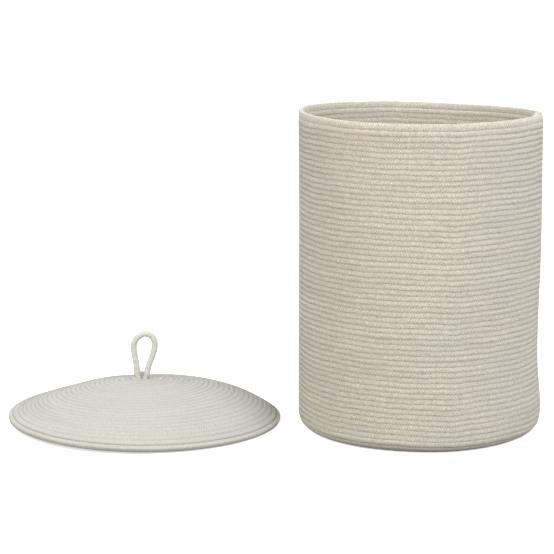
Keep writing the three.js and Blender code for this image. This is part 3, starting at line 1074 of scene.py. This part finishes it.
class HAMPER_OT_lashing(bpy.types.Operator):
    """Lash the loop's legs above the lid and tack its tails and the tucked rope end"""

    bl_idname = "hamper.lashing"
    bl_label = "Lashing and Tacks"

    def execute(self, context):
        settings = context.scene.hamper_loop
        thickness = context.scene.hamper_thread.thickness * 1.25
        count = round(settings.lash_turns * 40)
        share = np.linspace(0, 1, count)
        angle = TURN * settings.lash_turns * share
        crown = LID_TOP - context.scene.hamper_lid.crown_sink
        height = crown + LASH_START + settings.lash_height * share
        spread = LASH_SPREAD + LASH_WANDER * np.sin(share * 9)
        leg = LOOP_ROPE / 2 + thickness * 0.45
        # A figure of eight: round one leg, across between them, and round the other.
        x = (spread + leg * 0.72) * np.sin(angle)
        y = leg * np.cos(angle) * (0.45 + 0.55 * np.abs(np.sin(angle)))
        centre = np.stack([HINGE[0] - LASH_OFFSET + x, HINGE[1] + y, height], axis=1)
        piece = wound_thread("loop_lashing_thread", centre, thickness, "lid_thread")
        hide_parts("loop_lashing")
        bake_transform(piece)
        for word in ("left", "right"):
            node = f"foot_tack_{word}"
            low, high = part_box(node)
            piece = self.tail_tack(f"{word}_tail_stitches", low, high, thickness)
            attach(piece, "lid")
            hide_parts(node)
        for number in (1, 2):
            node = f"rope_end_tack_{number}"
            low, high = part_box(node)
            piece = self.wall_tack(f"tucked_rope_stitches_{number}", (low + high) / 2, thickness)
            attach(piece, "basket")
            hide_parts(node)
        return {"FINISHED"}

    def tail_tack(self, name, low, high, thickness):
        """Stitches over a tail that lies against the underside of the dome."""
        middle = (low + high) / 2
        half_wide = (high.y - low.y) / 2 - thickness / 2
        half_tall = (high.z - low.z) / 2 - thickness / 2
        share = np.linspace(0, 1, 120)
        angle = TURN * TACK_TURNS * share
        x = middle.x + (share - 0.5) * TACK_WIDTH
        y = middle.y + half_wide * np.sin(angle)
        z = middle.z - half_tall * np.cos(angle) * 0.9
        return wound_thread(name, np.stack([x, y, z], axis=1), thickness, "lid_thread")

    def wall_tack(self, name, middle, thickness):
        """Stitches over the tucked end that lies against the inside of the wall."""
        coil = BasketCoil()
        half = coil.half + thickness * 0.4
        share = np.linspace(0, 1, 120)
        angle = TURN * TACK_TURNS * share
        azimuth = math.atan2(middle.y, middle.x) + (share - 0.5) * TACK_WIDTH / coil.tuck_radius
        line = coil.tucked(azimuth)
        grown = 1 - half * np.cos(angle) / coil.tuck_radius
        line = line * np.stack([grown, grown, np.ones(len(share))], axis=1)
        line[:, 2] += half * np.sin(angle)
        return wound_thread(name, coil.settled(line), thickness, "basket_thread")


# ---------------------------------------------------------------- stage

# The floor's half width, and its distance below the firm base.
FLOOR_HALF = 60
FLOOR_GAP = 0.4 * MM


def plain_white(name, seen_tone, cast_tone, glow):
    """Matt white that shows as one tone and casts back a quieter one, as a large bright floor does
    when the walls beyond it are dark."""
    material, tree, shader = new_finish(name)
    shader.inputs["Roughness"].default_value = 0.9
    shader.inputs["Specular IOR Level"].default_value = 0.0
    path = tree.nodes.new("ShaderNodeLightPath")
    tones = [(tone, tone, tone, 1) for tone in (cast_tone, seen_tone)]
    link(tree, blended(tree, path.outputs["Is Camera Ray"], *tones), shader.inputs["Base Color"])
    link(tree, blended(tree, path.outputs["Is Camera Ray"], (0, 0, 0, 1), (1, 1, 1, 1)),
         shader.inputs["Emission Color"])
    shader.inputs["Emission Strength"].default_value = glow
    return material


def soft_light(name, place, target, size, power, colour):
    """A square area light that looks at a point."""
    lamp = bpy.data.lights.new(name, "AREA")
    lamp.shape = "SQUARE"
    lamp.size = size
    lamp.energy = power
    lamp.color = colour
    light = added(name, lamp)
    light.location = place
    aim = Vector(place) - Vector(target)
    light.rotation_euler = aim.to_track_quat("Z", "Y").to_euler()


class HAMPER_OT_stage(bpy.types.Operator):
    """Set up the floor, the soft studio light and the camera"""

    bl_idname = "hamper.stage"
    bl_label = "Stage"

    def execute(self, context):
        scene = context.scene
        settings = scene.hamper_stage
        view = bpy.data.cameras.new("hamper_camera")
        view.sensor_width = 36
        view.lens = settings.lens
        view.clip_end = 200
        camera = added("hamper_camera", view)
        camera.location = settings.camera_place
        camera.rotation_euler = (math.pi / 2 - settings.camera_drop, 0, 0)
        scene.camera = camera

        sheet = bmesh.new()
        bmesh.ops.create_grid(sheet, x_segments=2, y_segments=2, size=FLOOR_HALF)
        bmesh.ops.translate(sheet, verts=sheet.verts[:], vec=(0, 0, -FLOOR_GAP))
        mesh = bpy.data.meshes.new("floor")
        sheet.to_mesh(mesh)
        sheet.free()
        floor = added("floor", mesh)
        mesh.materials.append(plain_white("floor_white", settings.floor_tone, settings.floor_cast,
                                          settings.floor_glow))

        soft_light("key_light", settings.key_place, (-0.15, 0, 0.3), settings.light_size,
                   settings.key, (0.98, 1.0, 1.03))
        soft_light("left_light", settings.left_place, (-0.2, 0, 0.25), settings.light_size,
                   settings.key * settings.left_share, (1.0, 0.97, 0.92))

        world = bpy.data.worlds.new("studio")
        world.use_nodes = True
        background = world.node_tree.nodes["Background"]
        background.inputs["Color"].default_value = (1, 1, 1, 1)
        background.inputs["Strength"].default_value = settings.sky
        scene.world = world
        scene.view_settings.view_transform = "Standard"
        return {"FINISHED"}


class HAMPER_PT_panel(bpy.types.Panel):
    """Lists the hamper's settings and its steps"""

    bl_idname = "HAMPER_PT_panel"
    bl_label = "Coiled Rope Hamper"
    bl_space_type = "VIEW_3D"
    bl_region_type = "UI"
    bl_category = "Hamper"

    def draw(self, context):
        for key, group in SETTINGS.items():
            box = self.layout.box()
            box.label(text=group.__doc__)
            for name in group.__annotations__:
                box.prop(getattr(context.scene, key), name)
        for step in STEPS:
            self.layout.operator(step.bl_idname)


SETTINGS = {
    "hamper_rope": RopeSettings,
    "hamper_basket": BasketSettings,
    "hamper_lid": LidSettings,
    "hamper_loop": LoopSettings,
    "hamper_thread": ThreadSettings,
    "hamper_finish": FinishSettings,
    "hamper_stage": StageSettings,
}
STEPS = (
    HAMPER_OT_stage,
    HAMPER_OT_base,
    HAMPER_OT_corner,
    HAMPER_OT_wall,
    HAMPER_OT_rim,
    HAMPER_OT_basket_stitching,
    HAMPER_OT_lid,
    HAMPER_OT_lid_stitching,
    HAMPER_OT_loop,
    HAMPER_OT_lashing,
)


def register():
    for group in (*SETTINGS.values(), *STEPS, HAMPER_PT_panel):
        bpy.utils.register_class(group)
    for key, group in SETTINGS.items():
        setattr(bpy.types.Scene, key, PointerProperty(type=group))


def unregister():
    for key in SETTINGS:
        delattr(bpy.types.Scene, key)
    for group in reversed((*SETTINGS.values(), *STEPS, HAMPER_PT_panel)):
        bpy.utils.unregister_class(group)


def main():
    register()
    for step in STEPS:
        group, name = step.bl_idname.split(".")
        getattr(getattr(bpy.ops, group), name)()


if __name__ == "__main__":
    main()
